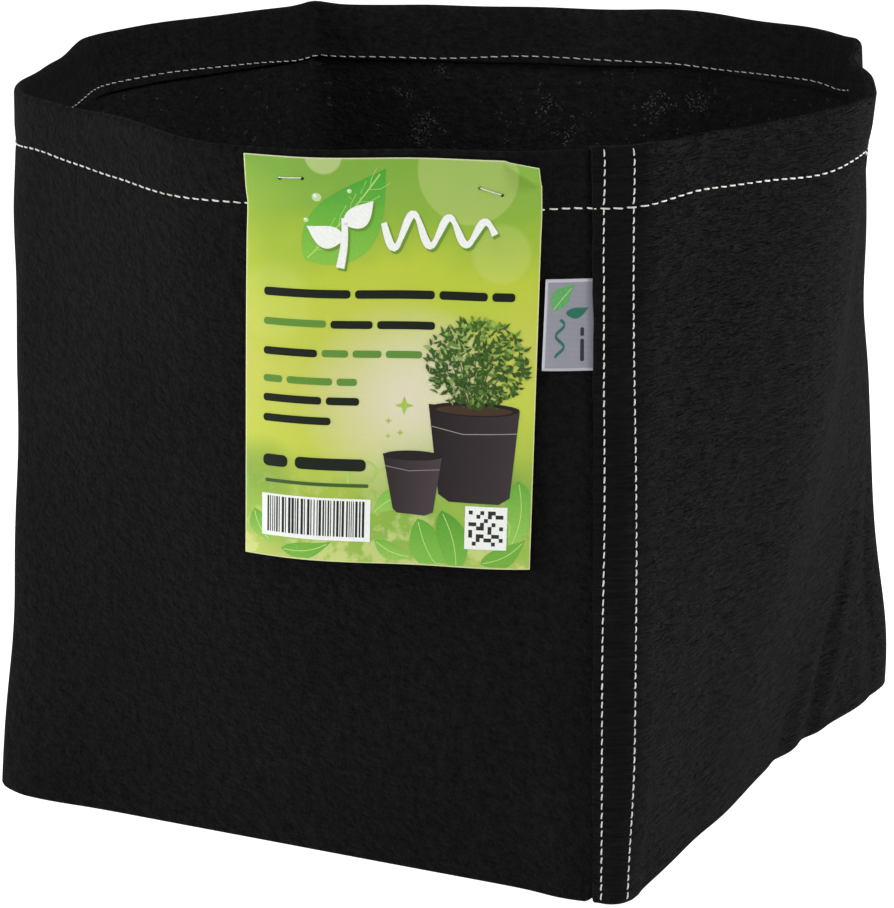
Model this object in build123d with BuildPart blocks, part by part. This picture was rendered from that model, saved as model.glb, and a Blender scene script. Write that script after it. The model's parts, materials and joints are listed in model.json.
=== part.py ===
from build123d import *
from math import acos, atan2, cos, pi, radians, sin, tan
import os

# Fabric grow bag: a felt tube with a square base and a soft eight-sided mouth, lapped and twin-stitched up one
# corner, hemmed inwards at the mouth, with a stapled information card and a woven side label.
# Millimetres, +Z up, origin at the middle of the underside. The card is on the -Y wall and the lap seam is at
# the (+X, -Y) corner.

os.makedirs("parts", exist_ok=True)

# ---- driving dimensions ------------------------------------------------------------------------------------
HEIGHT = 320.0          # floor to mouth
BASE_HALF = 158.0       # half the side of the square base, outside
BASE_CORNER_R = 10.0    # fold at the base corners, outside
# folds that the flat-packed cloth keeps at the mouth: direction (degrees), distance from the middle, and how far
# each one's rounding reaches; the first is over the lap corner
MOUTH_FOLDS = [(-44, 203, 35), (0, 205, 30), (50, 209, 25), (80, 208, 30),
               (137, 210, 15), (179, 201, 15), (221, 207, 30), (270, 219, 45)]
CLOTH = 2.0             # felt thickness
LAYER_GAP = 0.2         # air left between two layers of felt

HEM_DEPTH = 28.0        # felt turned in at the mouth
HEM_ROW_DEPTH = 25.0    # hem stitches below the mouth
ALLOWANCE = 10.0        # felt turned in at the base seam
BASE_ROW_HEIGHT = 4.0   # base seam stitches above the floor

ROW_FROM_CORNER = 6.0   # each seam row from the corner, along the cloth
LAP_EDGE = 11.0         # cut edges of the lap from the corner, along the cloth
LAP_LANDING = 14.5      # where the outer layer is back on the wall line
CUT_WIDTH = 0.3         # slit at the hidden cut edge of the lap

THREAD = 0.8            # sewing thread, across
THREAD_SUNK = 0.3       # how far a stitch pulls into the felt

CARD_LEFT, CARD_RIGHT = -153.5, -31.5   # card edges along the cloth from the corner: 122 mm wide
CARD_TOP, CARD_BOTTOM = 316.5, 146.5
CARD_HINGE = 298.0      # crease just under the staples
CARD_T = 0.5
CARD_OFF = 0.7          # card to felt, so that it clears the hem stitches
CREASE_GAP = 0.15
CARD_HANG = 2.3         # degrees the curved flap hangs out from upright, its weight below its crease

LABEL_FREE, LABEL_SEWN = -30.0, -4.0    # folded edge and sewn end of the label, along the cloth
LABEL_LOW, LABEL_HIGH = 229.5, 269.0
LABEL_PLY = 0.35
LABEL_OFF = 0.25        # label to felt
LABEL_PLY_GAP = 0.3
LABEL_HINGE = -11.3     # crease at the lap edge

STAPLE_WIRE = 0.6
STAPLE_CROWN = 10.0
STAPLE_TURN = 3.6       # clinched end of each leg
STAPLES = {"staple_left": (-133.4, 308.8), "staple_right": (-52.4, 304.2)}

# ---- the cloth's surface -----------------------------------------------------------------------------------
# A station s is a distance along the cloth from the lap corner, anticlockwise from above. An inset d is how far
# in from the outer face; a negative inset is outside it. Cloth keeps its length, so the mouth has the base's
# perimeter.
STRAIGHT = 2 * (BASE_HALF - BASE_CORNER_R)
BEND = BASE_CORNER_R * pi / 2
QUARTER = STRAIGHT + BEND
PERIMETER = 4 * QUARTER


def mouth_runs():
    """The mouth's outline as alternate bends and straights: (length, centre or start, angle, radius or None)."""
    tips = [Vector(cos(radians(a)), sin(radians(a))) * r for a, r, reach in MOUTH_FOLDS]
    runs = []
    for k, (angle, distance, reach) in enumerate(MOUTH_FOLDS):
        tip, after = tips[k], tips[(k + 1) % len(tips)]
        back = (tips[k - 1] - tip).normalized()
        ahead = (after - tip).normalized()
        turn = pi - acos(back.dot(ahead))
        radius = reach / tan(turn / 2)
        centre = tip + (back + ahead).normalized() * (radius / cos(turn / 2))
        first = tip + back * reach - centre
        runs.append((radius * turn, centre, atan2(first.Y, first.X), radius))
        gap = (after - tip).length - reach - MOUTH_FOLDS[(k + 1) % len(tips)][2]
        runs.append((gap, tip + ahead * reach, atan2(ahead.Y, ahead.X), None))
    scale = PERIMETER / sum(run[0] for run in runs)
    return [(n * scale, p * scale, a, r and r * scale) for n, p, a, r in runs]


MOUTH = mouth_runs()
MOUTH_MARKS = [-MOUTH[0][0] / 2]
for run in MOUTH:
    MOUTH_MARKS.append(MOUTH_MARKS[-1] + run[0])
BASE_MARKS = [k * QUARTER + e for k in range(4) for e in (-BEND / 2, BEND / 2)]


def base_point(s, d):
    k, u = divmod(s + BEND / 2, QUARTER)
    centre = Vector(BASE_HALF - BASE_CORNER_R, -(BASE_HALF - BASE_CORNER_R)).rotate(Axis.Z, 90 * (k % 4))
    angle = radians(-90 + 90 * (k % 4) + 90 * min(u, BEND) / BEND)
    point = centre + Vector(cos(angle), sin(angle)) * (BASE_CORNER_R - d)
    return point + Vector(-sin(angle), cos(angle)) * max(u - BEND, 0)


def mouth_point(s, d):
    u = (s - MOUTH_MARKS[0]) % PERIMETER
    for length, place, angle, radius in MOUTH:
        if u <= length:
            break
        u -= length
    if radius is None:
        return place + Vector(cos(angle), sin(angle)) * u + Vector(-sin(angle), cos(angle)) * d
    angle += u / radius
    return place + Vector(cos(angle), sin(angle)) * (radius - d)


def wall_point(s, d, z):
    low, high = base_point(s, d), mouth_point(s, d)
    point = low + (high - low) * (z / HEIGHT)
    return Vector(point.X, point.Y, z)


def stations(s1, s2):
    """s1, s2 and every start or end of a bend between them, at the floor or at the mouth."""
    bends = [m + n * PERIMETER for m in BASE_MARKS + MOUTH_MARKS[:-1] for n in (-1, 0, 1)]
    return [s1] + sorted(m for m in bends if s1 + 0.01 < m < s2 - 0.01) + [s2]


def trace(point, s1, s2, d):
    """The edges of one face of the cloth, at the floor or at the mouth."""
    marks = stations(s1, s2)
    for a, b in zip(marks, marks[1:]):
        ends = [point(a, d), point(b, d)]
        middle = point((a + b) / 2, d)
        if (middle - (ends[0] + ends[1]) / 2).length < 1e-6:
            Line(ends[0], ends[1])
        else:
            ThreePointArc(ends[0], middle, ends[1])


def ribbon(s1, s2, d1, d2, low=0.0, high=HEIGHT):
    """A strip of the cloth from station s1 to s2, between insets d1 and d2 and two heights, fold by fold."""
    marks = stations(s1, s2)
    with BuildPart() as solid:
        for a, b in zip(marks, marks[1:]):
            for point, height in ((base_point, 0), (mouth_point, HEIGHT)):
                with BuildSketch(Plane.XY.offset(height)):
                    with BuildLine():
                        trace(point, a, b, d1)
                        Line(point(b, d1), point(b, d2))
                        trace(point, a, b, d2)
                        Line(point(a, d1), point(a, d2))
                    make_face()
            loft(ruled=True)
        if low > 0 or high < HEIGHT:
            with Locations((0, 0, (low + high) / 2)):
                Box(600, 600, high - low, mode=Mode.INTERSECT)
    return solid.part


def ring(d1, d2, low=0.0, high=HEIGHT):
    """A whole turn of the cloth."""
    return ribbon(-BEND / 2, PERIMETER - BEND / 2, d1, d2, low, high)


# ---- side wall ---------------------------------------------------------------------------------------------
INNER = CLOTH + LAYER_GAP               # outer face of a turned-in layer
INNER_FACE = INNER + CLOTH
LAP_IN, LAP_OUT = -LAYER_GAP, -LAYER_GAP - CLOTH

wall_tube = ring(0, CLOTH)
hem_layer = ring(INNER, INNER_FACE, HEIGHT - HEM_DEPTH, HEIGHT)
hem_fold = ring(CLOTH - 0.1, INNER + 0.1, HEIGHT - CLOTH, HEIGHT)
turned_layer = ring(INNER, INNER_FACE, 0, ALLOWANCE)
turned_fold = ring(CLOTH - 0.1, INNER + 0.1, 0, CLOTH)
lap_layer = ribbon(-LAP_EDGE, LAP_LANDING, LAP_OUT, LAP_IN)
lap_landing = ribbon(LAP_EDGE + CUT_WIDTH, LAP_LANDING, LAP_IN - 0.1, 0.1)
hidden_cut = ribbon(LAP_EDGE, LAP_EDGE + CUT_WIDTH, LAP_IN, CLOTH + LAYER_GAP / 2, CLOTH, HEIGHT - CLOTH)
label_depth = LABEL_OFF + 2 * LABEL_PLY + LABEL_PLY_GAP
label_pocket = ribbon(-LAP_EDGE - 1, LABEL_SEWN + 0.5, -label_depth - 0.2, LAP_IN + 0.1,
                      LABEL_LOW - 0.3, LABEL_HIGH + 0.3)

with BuildPart() as sidewall_panel:
    add(wall_tube)
    for layer in (hem_layer, hem_fold, turned_layer, turned_fold, lap_layer, lap_landing):
        add(layer)
    for gap in (hidden_cut, label_pocket):
        add(gap, mode=Mode.SUBTRACT)

# ---- base panel --------------------------------------------------------------------------------------------
BASE_IN = INNER_FACE + LAYER_GAP
BASE_SIDE = 2 * (BASE_HALF - BASE_IN - CLOTH / 2)
base_flange = ring(BASE_IN, BASE_IN + CLOTH, 0, ALLOWANCE)

with BuildPart() as base_panel:
    with BuildSketch(Plane.XY):
        RectangleRounded(BASE_SIDE, BASE_SIDE, BASE_CORNER_R - BASE_IN - CLOTH / 2)
    extrude(amount=CLOTH)
    add(base_flange)

# ---- sewing threads ----------------------------------------------------------------------------------------
HALF_THREAD = THREAD / 2
PROUD = THREAD - THREAD_SUNK
row_z = HEIGHT - HEM_ROW_DEPTH
row_band = (row_z - HALF_THREAD, row_z + HALF_THREAD)

# the outside hem row steps up on to the lap and down again
hem_outside = [
    ring(-PROUD, THREAD_SUNK, *row_band) - ribbon(-LAP_EDGE, LAP_LANDING, LAP_OUT, CLOTH, *row_band),
    ribbon(-LAP_EDGE - PROUD, LAP_LANDING + PROUD, LAP_OUT - PROUD, LAP_OUT + THREAD_SUNK, *row_band),
    ribbon(-LAP_EDGE - PROUD, -LAP_EDGE + 0.05, LAP_OUT, THREAD_SUNK, *row_band),
    ribbon(LAP_LANDING - 0.05, LAP_LANDING + PROUD, LAP_OUT, THREAD_SUNK, *row_band),
]
hem_inside = ring(INNER_FACE - THREAD_SUNK, INNER_FACE + PROUD, *row_band)

with BuildPart() as hem_needle_thread:
    for run in hem_outside:
        add(run)

with BuildPart() as hem_bobbin_thread:
    add(hem_inside)


def seam_row(s, d1, d2, low, high):
    return ribbon(s - HALF_THREAD, s + HALF_THREAD, d1, d2, low, high)


outside_run = (LAP_OUT - PROUD, LAP_OUT + THREAD_SUNK, CLOTH, HEIGHT)
inside_run = (CLOTH - THREAD_SUNK, CLOTH + PROUD, ALLOWANCE + 1.5, HEIGHT - HEM_DEPTH - 1.0)
seam_threads = {
    "seam_left_needle_thread": seam_row(-ROW_FROM_CORNER, *outside_run),
    "seam_right_needle_thread": seam_row(ROW_FROM_CORNER, *outside_run),
    "seam_left_bobbin_thread": seam_row(-ROW_FROM_CORNER, *inside_run),
    "seam_right_bobbin_thread": seam_row(ROW_FROM_CORNER, *inside_run),
}

BASE_FACE = BASE_IN + CLOTH
base_band = (BASE_ROW_HEIGHT - HALF_THREAD, BASE_ROW_HEIGHT + HALF_THREAD)
base_inside = ring(BASE_FACE - THREAD_SUNK, BASE_FACE + PROUD, *base_band)
base_hidden = ring(CLOTH + LAYER_GAP / 2 - HALF_THREAD, CLOTH + LAYER_GAP / 2 + HALF_THREAD, *base_band)

with BuildPart() as base_seam_needle_thread:
    add(base_inside)

with BuildPart() as base_seam_bobbin_thread:
    add(base_hidden)

# ---- woven label: a tape folded double, its two ends sewn under the lap -------------------------------------
ply_1 = (-LABEL_OFF - LABEL_PLY, -LABEL_OFF)
ply_2 = (-label_depth, -label_depth + LABEL_PLY)
label_band = (LABEL_LOW, LABEL_HIGH)
tab_plies = [ribbon(LABEL_FREE, LABEL_HINGE - CREASE_GAP, *ply, *label_band) for ply in (ply_1, ply_2)]
tab_fold = ribbon(LABEL_FREE, LABEL_FREE + LABEL_PLY, -label_depth, -LABEL_OFF, *label_band)
tab_weld = ribbon(LABEL_HINGE - CREASE_GAP - 0.5, LABEL_HINGE - CREASE_GAP, -label_depth, -LABEL_OFF, *label_band)
tail_plies = [ribbon(LABEL_HINGE, LABEL_SEWN, *ply, *label_band) for ply in (ply_1, ply_2)]
tail_weld = ribbon(-ROW_FROM_CORNER - 0.6, -ROW_FROM_CORNER + 0.6, -label_depth, -LABEL_OFF, *label_band)

with BuildPart() as label_tab:
    for ply in tab_plies + [tab_fold, tab_weld]:
        add(ply)

with BuildPart() as label_tail:
    for ply in tail_plies + [tail_weld]:
        add(ply)

# ---- information card: a stapled head on the wall and the flap that hangs upright from its crease -----------
card_face = (-CARD_OFF - CARD_T, -CARD_OFF)
head_sheet = ribbon(CARD_LEFT, CARD_RIGHT, *card_face, CARD_HINGE + CREASE_GAP, CARD_TOP)


def card_edge(inset):
    """The card's lower edge at the crease, as points on the floor plane."""
    steps = [CARD_LEFT + (CARD_RIGHT - CARD_LEFT) * k / 12 for k in range(13)]
    return [wall_point(s, inset, CARD_HINGE) - Vector(0, 0, CARD_HINGE) for s in steps]


# the crease line touches the front of that edge, so that no part of the flap lifts into the head
outer_edge = card_edge(card_face[0])
crease_line = (outer_edge[0] - outer_edge[-1]).normalized()
outward = Vector(0, 0, 1).cross(crease_line)
crease_point = max(outer_edge, key=lambda p: p.dot(outward)) + Vector(0, 0, CARD_HINGE)

with BuildPart() as card_head:
    add(head_sheet)

with BuildPart() as upright_flap:
    with BuildSketch(Plane.XY.offset(CARD_BOTTOM)):
        with BuildLine():
            front, rear = [Spline(*card_edge(inset)) for inset in card_face]
            Line(front @ 0, rear @ 0)
            Line(front @ 1, rear @ 1)
        make_face()
    extrude(amount=CARD_HINGE - CARD_BOTTOM)

card_flap = upright_flap.part.rotate(Axis(crease_point, crease_line), CARD_HANG)

# ---- staples -----------------------------------------------------------------------------------------------


def staple(s, z):
    """Crown on the card, two legs through card and hem, ends turned in against the hem's inner layer."""
    along = (wall_point(s + 1, 0, z) - wall_point(s - 1, 0, z)).normalized()
    up = (wall_point(s, 0, z + 1) - wall_point(s, 0, z - 1)).normalized()
    front = CARD_OFF + CARD_T + STAPLE_WIRE / 2 + 0.1
    back = -(INNER_FACE + STAPLE_WIRE / 2 + 0.1)
    leg = (STAPLE_CROWN - STAPLE_WIRE) / 2
    with BuildPart(Plane(origin=wall_point(s, 0, z), x_dir=along, z_dir=along.cross(up))) as wire:
        with Locations((0, 0, front)):
            Box(STAPLE_CROWN, STAPLE_WIRE, STAPLE_WIRE)
        with Locations((-leg, 0, (front + back) / 2), (leg, 0, (front + back) / 2)):
            Box(STAPLE_WIRE, STAPLE_WIRE, front - back + STAPLE_WIRE)
        with Locations((-leg + STAPLE_TURN / 2, 0, back), (leg - STAPLE_TURN / 2, 0, back)):
            Box(STAPLE_TURN, STAPLE_WIRE, STAPLE_WIRE)
    return wire.part


staples = {name: staple(*place) for name, place in STAPLES.items()}

# ---- export ------------------------------------------------------------------------------------------------
pieces = {
    "sidewall_panel": sidewall_panel.part,
    "base_panel": base_panel.part,
    "hem_needle_thread": hem_needle_thread.part,
    "hem_bobbin_thread": hem_bobbin_thread.part,
    **seam_threads,
    "base_seam_needle_thread": base_seam_needle_thread.part,
    "base_seam_bobbin_thread": base_seam_bobbin_thread.part,
    "label_tail": label_tail.part,
    "label_tab": label_tab.part,
    "card_head": card_head.part,
    "card_flap": card_flap,
    **staples,
}

if __name__ == "__main__":
    for name, piece in pieces.items():
        piece.label = name
        export_step(piece, f"parts/{name}.step")
        box = piece.bounding_box()
        print(f"{name:26s} solids {len(piece.solids())}  volume {piece.volume:11.1f} mm3  "
              f"size {box.size.X:6.1f} {box.size.Y:6.1f} {box.size.Z:6.1f}  z {box.min.Z:6.1f}..{box.max.Z:6.1f}")
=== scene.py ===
"""Fabric grow bag: felt wall, hem, lapped seam, stitches, woven label, stapled card, studio.

Lengths are millimetres until a mesh is made. A station s runs along the cloth from the lap corner (+X, -Y),
anticlockwise from above. An inset is how far in from the wall's outer face; it is negative outside.
"""
import json
from math import acos, atan2, cos, pi, radians, sin, tan, tau

import bmesh
import bpy
import numpy as np
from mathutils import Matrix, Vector


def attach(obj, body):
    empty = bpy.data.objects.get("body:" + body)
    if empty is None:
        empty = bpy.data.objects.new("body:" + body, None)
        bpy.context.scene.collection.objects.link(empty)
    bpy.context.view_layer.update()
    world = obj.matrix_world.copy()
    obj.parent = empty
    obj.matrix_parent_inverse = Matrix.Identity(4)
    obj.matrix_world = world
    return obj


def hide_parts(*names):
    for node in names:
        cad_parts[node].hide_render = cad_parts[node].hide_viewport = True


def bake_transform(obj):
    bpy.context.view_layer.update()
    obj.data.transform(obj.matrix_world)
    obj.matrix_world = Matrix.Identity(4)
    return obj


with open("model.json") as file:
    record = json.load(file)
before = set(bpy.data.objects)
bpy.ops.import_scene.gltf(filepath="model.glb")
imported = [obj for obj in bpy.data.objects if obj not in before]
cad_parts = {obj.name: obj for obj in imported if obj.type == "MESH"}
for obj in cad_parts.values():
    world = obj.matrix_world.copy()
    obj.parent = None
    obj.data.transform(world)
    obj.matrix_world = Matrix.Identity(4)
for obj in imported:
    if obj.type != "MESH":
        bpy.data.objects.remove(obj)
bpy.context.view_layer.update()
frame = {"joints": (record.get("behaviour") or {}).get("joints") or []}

MM = 0.001
rng = np.random.default_rng(7)

# ---- the bag's own sizes, as in the part
HEIGHT, BASE_HALF, CORNER_R = 320.0, 158.0, 10.0
# the mouth's soft corners: angle, distance from the middle, and reach
MOUTH_FOLDS = [(-44, 203, 35), (0, 205, 30), (50, 209, 25), (80, 208, 30),
               (137, 210, 15), (179, 201, 15), (221, 207, 30), (270, 219, 45)]
CLOTH, LAYER_GAP = 2.0, 0.2
LAYER = CLOTH + LAYER_GAP
LAP_RISE = 1.7        # the stitches press the lap's two layers together
HEM_DEPTH, ALLOWANCE = 28.0, 10.0
LAP, LANDING, ROW = 10.3, 14.5, 5.8
CARD_LEFT, CARD_WIDTH, CARD_TOP, CARD_HEIGHT, CREASE_Z = -153.5, 122.0, 316.5, 170.0, 298.0
CARD_OFF, CARD_T = 0.7, 0.5
LABEL_LOW, LABEL_HIGH, LABEL_FREE, LABEL_HINGE = 229.3, 267.4, -30.4, -11.3
# station, height and tilt in degrees
STAPLES = {"staple_left": (-133.4, 308.8, 2.0), "staple_right": (-52.4, 304.2, -17.0)}

BEND = CORNER_R * pi / 2
QUARTER = 2 * (BASE_HALF - CORNER_R) + BEND
AROUND = 4 * QUARTER
WAVE = tau / AROUND


def smooth(x, a, b):
    t = np.clip((np.asarray(x, float) - a) / (b - a), 0, 1)
    return t * t * (3 - 2 * t)


def hill(x, centre, width):
    return np.exp(-((np.asarray(x, float) - centre) / width) ** 2)


def unit(vectors):
    return vectors / np.linalg.norm(vectors, axis=-1, keepdims=True)


def steps(*spans):
    """Numbers along spans of (first, last, count) in turn; a fourth value, False, leaves out a span's last."""
    return np.concatenate([np.linspace(*span) for span in spans])


def at_height(flat, z):
    return np.column_stack([flat, np.broadcast_to(z, len(flat))])


def from_station(s, centre):
    """Signed distance along the cloth from a station, the short way round."""
    return (np.asarray(s, float) - centre + AROUND / 2) % AROUND - AROUND / 2


def close_to(s, centre, none, full):
    """1 within full millimetres of a station, and 0 past none."""
    return smooth(-np.abs(from_station(s, centre)), -none, -full)


def mouth_runs():
    """The mouth's outline as (length, point or centre, angle, radius) of its bends and straights in turn."""
    tips = [np.array([cos(radians(a)), sin(radians(a))]) * r for a, r, _ in MOUTH_FOLDS]
    runs = []
    for k, (_, _, reach) in enumerate(MOUTH_FOLDS):
        tip, after = tips[k], tips[(k + 1) % len(tips)]
        back, ahead, gap = unit(tips[k - 1] - tip), unit(after - tip), np.linalg.norm(after - tip)
        turn = pi - acos(back @ ahead)
        radius = reach / tan(turn / 2)
        centre = tip + unit(back + ahead) * radius / cos(turn / 2)
        first = tip + back * reach - centre
        runs.append((radius * turn, centre, atan2(first[1], first[0]), radius))
        runs.append((gap - reach - MOUTH_FOLDS[(k + 1) % len(tips)][2], tip + ahead * reach,
                     atan2(ahead[1], ahead[0]), 0.0))
    scale = AROUND / sum(run[0] for run in runs)
    return [(n * scale, p * scale, a, r * scale) for n, p, a, r in runs]


RUNS = mouth_runs()
RUN_STARTS = np.cumsum([0.0] + [run[0] for run in RUNS])
RUN_ZERO = -RUNS[0][0] / 2
RUN_X, RUN_Y, RUN_ANGLE, RUN_R = (np.array(v) for v in zip(*[(p[0], p[1], a, r) for _, p, a, r in RUNS]))


def base_point(s, inset):
    """A point of the base's square outline."""
    u = np.asarray(s, float) + BEND / 2
    k = np.floor(u / QUARTER)
    u = u - k * QUARTER
    a = np.radians(90 * (k % 4))
    c = BASE_HALF - CORNER_R
    t = a + np.radians(-90 + 90 * np.minimum(u, BEND) / BEND)
    run = np.maximum(u - BEND, 0)
    x = c * (np.cos(a) + np.sin(a)) + np.cos(t) * (CORNER_R - inset) - np.sin(t) * run
    y = c * (np.sin(a) - np.cos(a)) + np.sin(t) * (CORNER_R - inset) + np.cos(t) * run
    return np.stack([x, y], -1)


def mouth_point(s, inset):
    """A point of the mouth's outline."""
    u = (np.asarray(s, float) - RUN_ZERO) % AROUND
    k = np.clip(np.searchsorted(RUN_STARTS, u, side="right") - 1, 0, len(RUNS) - 1)
    u = u - RUN_STARTS[k]
    x, y, a, r = RUN_X[k], RUN_Y[k], RUN_ANGLE[k], RUN_R[k]
    bent = r > 0
    t = np.where(bent, a + u / np.where(bent, r, 1), a)
    px = np.where(bent, x + np.cos(t) * (r - inset), x + np.cos(a) * u - np.sin(a) * inset)
    py = np.where(bent, y + np.sin(t) * (r - inset), y + np.sin(a) * u + np.cos(a) * inset)
    return np.stack([px, py], -1)


def bell(s, centre, width):
    """Bell-shaped weight about a station."""
    return hill(from_station(s, centre), 0, width)


def bells(s, table):
    """Sum of bells along the cloth, each (centre, width, amount)."""
    return sum(amount * bell(s, centre, width) for centre, width, amount in table)


ROW_Z = 296.3
# where the hem row steps down
ROW_DIPS = ((-611, 20, 1.2), (-303, 22, -1.8), (-246, 14, 0.8), (-212, 38, 3.0), (120, 30, 3.8), (324, 16, 1.8),
            (389, 22, -1.2), (412, 56, 3.1), (620, 80, 2.8))
# how the foot of the wall stands off its drawn square
FOOT = ((-280, 18, 1.4), (-25, 13, 2.2), (80, 24, -1.4), (180, 56, -5.2), (272, 24, 3.2))
# how the rim rises and dips
RIM = ((0, 15, -1.2), (-200, 38, 2.4), (-385, 30, -2.6), (-470, 60, 0.9), (-560, 30, 0.9), (135, 38, 1.8),
       (370, 50, 1.1), (520, 60, 0.6), (172, 6, -4.0), (605, 22, -0.4), (-432, 22, -2.7), (-248, 26, 1.2),
       (42, 16, 1.4), (100, 24, 1.2), (346, 22, 1.0), (309, 14, 1.8), (-622, 10, 1.7), (584, 20, -1.0))
# bulges and dents of the wall: centre, width, height, height's reach, amount. The far corner of the seam's wall
# bulges low down, the near left corner is drawn in above its foot, and the hem is dented beside the lap.
DENTS = ((QUARTER, 30, 26, 42, 5.0), (-QUARTER - 4, 44, 76, 44, -3.2), (306, 22, 196, 30, -2.4),
         (-318, 24, 158, 34, -1.5), (-330, 24, 266, 24, 1.4), (-24, 7, 305, 16, -1.2))
# drape folds down to the base: centre, lean, height, height's reach, width, amount
DRAPES = ((232, 34, 40, 52, 8, -3.0), (247, 34, 45, 55, 9, 1.6), (287, 6, 60, 60, 6, -2.0),
          (206, 30, 20, 30, 9, 1.4), (188, 24, 10, 30, 9, -1.6))
# folds at the mouth, two pinched in and one sharp fold out: centre, width, where it starts and is full, amount
PINCHES = ((172, 9, 280, 320, -3.0), (266, 21, 262, 318, -4.8), (-622, 5, 210, 318, 2.2))


def row_height(s):
    """Height of the hem row: it wanders a little, and steps down where it meets the lap."""
    wander = 0.2 * np.sin(5 * WAVE * s) + 0.15 * np.sin(9 * WAVE * s + 1.0)
    back_dip = 1.7 * hill(from_station(s, 0), 560, 26)
    return ROW_Z + wander - bells(s, ROW_DIPS) - back_dip


def slump(s):
    """How far the foot of the wall stands off its drawn square, outwards, where the empty bag slumps."""
    d = from_station(s, 0)
    front = (1.6 + 0.019 * np.clip(-d, 0, 290)) * smooth(-d, -16, 8) * (1 - smooth(-d, 292, 318))
    return front + bells(s, FOOT)


def swell(s, z):
    """How far the hanging cloth stands off the drawn wall, outwards."""
    s, z = np.asarray(s, float), np.asarray(z, float)
    free = smooth(z, -10, 60) * (1 - 0.6 * smooth(z, 250, 320))
    out = free * (0.9 * np.sin(4 * WAVE * s + 0.6) * np.sin(z / 95.0) + 0.6 * np.sin(7 * WAVE * s + z / 60.0)
                  + 0.45 * np.sin(12 * WAVE * s - z / 42.0 + 2.0))
    out += slump(s) * (1 - smooth(z, -20, 190))
    for centre, width, height, reach, amount in DENTS:
        out += amount * bell(s, centre, width) * hill(z, height, reach)
    for centre, lean, height, reach, width, amount in DRAPES:
        up = (z - height) / 80.0
        out += amount * bell(s, centre + lean * up + 10 * up ** 2, width) * hill(z, height, reach)
    for centre, width, start, full, amount in PINCHES:
        out += amount * bell(s, centre, width) * smooth(z, start, full)
    # the hem stands a little proud of its row, which pulls in
    row = row_height(s)
    out += 0.5 * smooth(z, row, row + 9) - 0.28 * hill(z, row, 2.4)
    # the card presses the mouth behind it flat
    out -= 1.7 * smooth(z, 300, 322) * close_to(s, -92, 74, 50)
    # the two lap rows pull in, with the strip between them slightly full and a groove past the right row
    seam = from_station(s, 0) - drift(z)
    out += 0.2 * hill(seam, 0, 3.5) - 0.3 * hill(np.abs(seam), ROW, 1.6) - 0.45 * hill(seam, 9.6, 2.2)
    # the corner is a roof whose top is just past the right row
    roof = np.minimum(np.clip((seam + 9) / 19, 0, 1) ** 1.5, np.clip((70 - seam) / 60, 0, 1) ** 2)
    return out + (0.8 + 3.0 * smooth(z, 0, 70)) * roof


def lift(s, z):
    """Height that the rim gains or loses as it waves."""
    wave = 0.45 * np.sin(9 * WAVE * s + 0.4) + 0.35 * np.sin(17 * WAVE * s + 2.0)
    return (wave + bells(s, RIM)) * smooth(z, 225, 320)


def drift(z):
    """How far the seam wanders along the cloth on its way down."""
    return -0.6 - 2.0 * (1 - smooth(z, -10, 160))


def floor_point(s, inset):
    """A point of the base's outline, with its slump."""
    return base_point(s, inset - slump(s))


def wall(s, inset, z):
    """A point of the cloth, moved by its sag and folds."""
    s, inset, z = (v.astype(float) for v in np.broadcast_arrays(s, inset, z))
    part = (z / HEIGHT)[..., None]

    def drawn(t, d):
        low, high = base_point(t, d), mouth_point(t, d)
        return low + (high - low) * part

    along = unit(drawn(s + 1.5, 0 * s) - drawn(s - 1.5, 0 * s))
    outward = np.stack([along[..., 1], -along[..., 0]], -1)
    flat = drawn(s, inset) + outward * swell(s, z)[..., None]
    return np.concatenate([flat, (z + lift(s, z))[..., None]], -1)


def landing(u):
    """Height of the lap's outer layer over the layer under it, which it comes down to past the seam."""
    return LAP_RISE * (1 - smooth(u, LAP + 0.2, LANDING + 16))


def lap_rise(u, z):
    """How far the lap's outer layer stands off, with the label under it."""
    on_lap = (u >= -LAP - 0.01) * (u < AROUND / 2)
    held = smooth(z, LABEL_LOW - 6, LABEL_LOW) * (1 - smooth(z, LABEL_HIGH, LABEL_HIGH + 6))
    return (landing(u) + held * (1 - smooth(u, -4, 0))) * on_lap


def half_cloth(u):
    """Half the felt's thickness, which the seam squeezes."""
    return CLOTH / 2 - 0.18 * close_to(u, 0, 15, 9)


def shifted(u, z):
    """Station of a point of the seam, with the seam's drift."""
    d = from_station(u, 0)
    near = 1 - smooth(np.abs(d), 18, 70)
    # the corner stands proud of its drawn radius low down, so the same cloth covers less of the drawn line
    snug = 0.27 * near * (1 - smooth(z, -20, 150))
    return u - d * snug + drift(z) * near


def skin(u, z, off):
    """A point on the outside of the bag, off millimetres proud of it."""
    d = from_station(u, 0)
    return wall(shifted(u, z), -lap_rise(d, z) - off, z)


# ---- mesh helpers


def new_object(name, data):
    obj = bpy.data.objects.new(name, data)
    bpy.context.scene.collection.objects.link(obj)
    return obj


def mesh_object(name, verts, faces, uv):
    mesh = bpy.data.meshes.new(name)
    mesh.from_pydata((np.asarray(verts) * MM).tolist(), [], faces)
    layer = mesh.uv_layers.new(name="Cloth")
    index = np.empty(len(mesh.loops), int)
    mesh.loops.foreach_get("vertex_index", index)
    layer.data.foreach_set("uv", np.asarray(uv, np.float32)[index].ravel())
    mesh.polygons.foreach_set("use_smooth", [True] * len(mesh.polygons))
    mesh.validate()
    mesh.update()
    return new_object(name, mesh)


def grid_faces(rows, columns, start=0, flip=False):
    i, j = np.meshgrid(np.arange(rows - 1), np.arange(columns - 1), indexing="ij")
    a = start + i * columns + j
    quads = np.stack([a, a + columns, a + columns + 1, a + 1], -1).reshape(-1, 4)
    return (quads[:, ::-1] if flip else quads).tolist()


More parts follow.
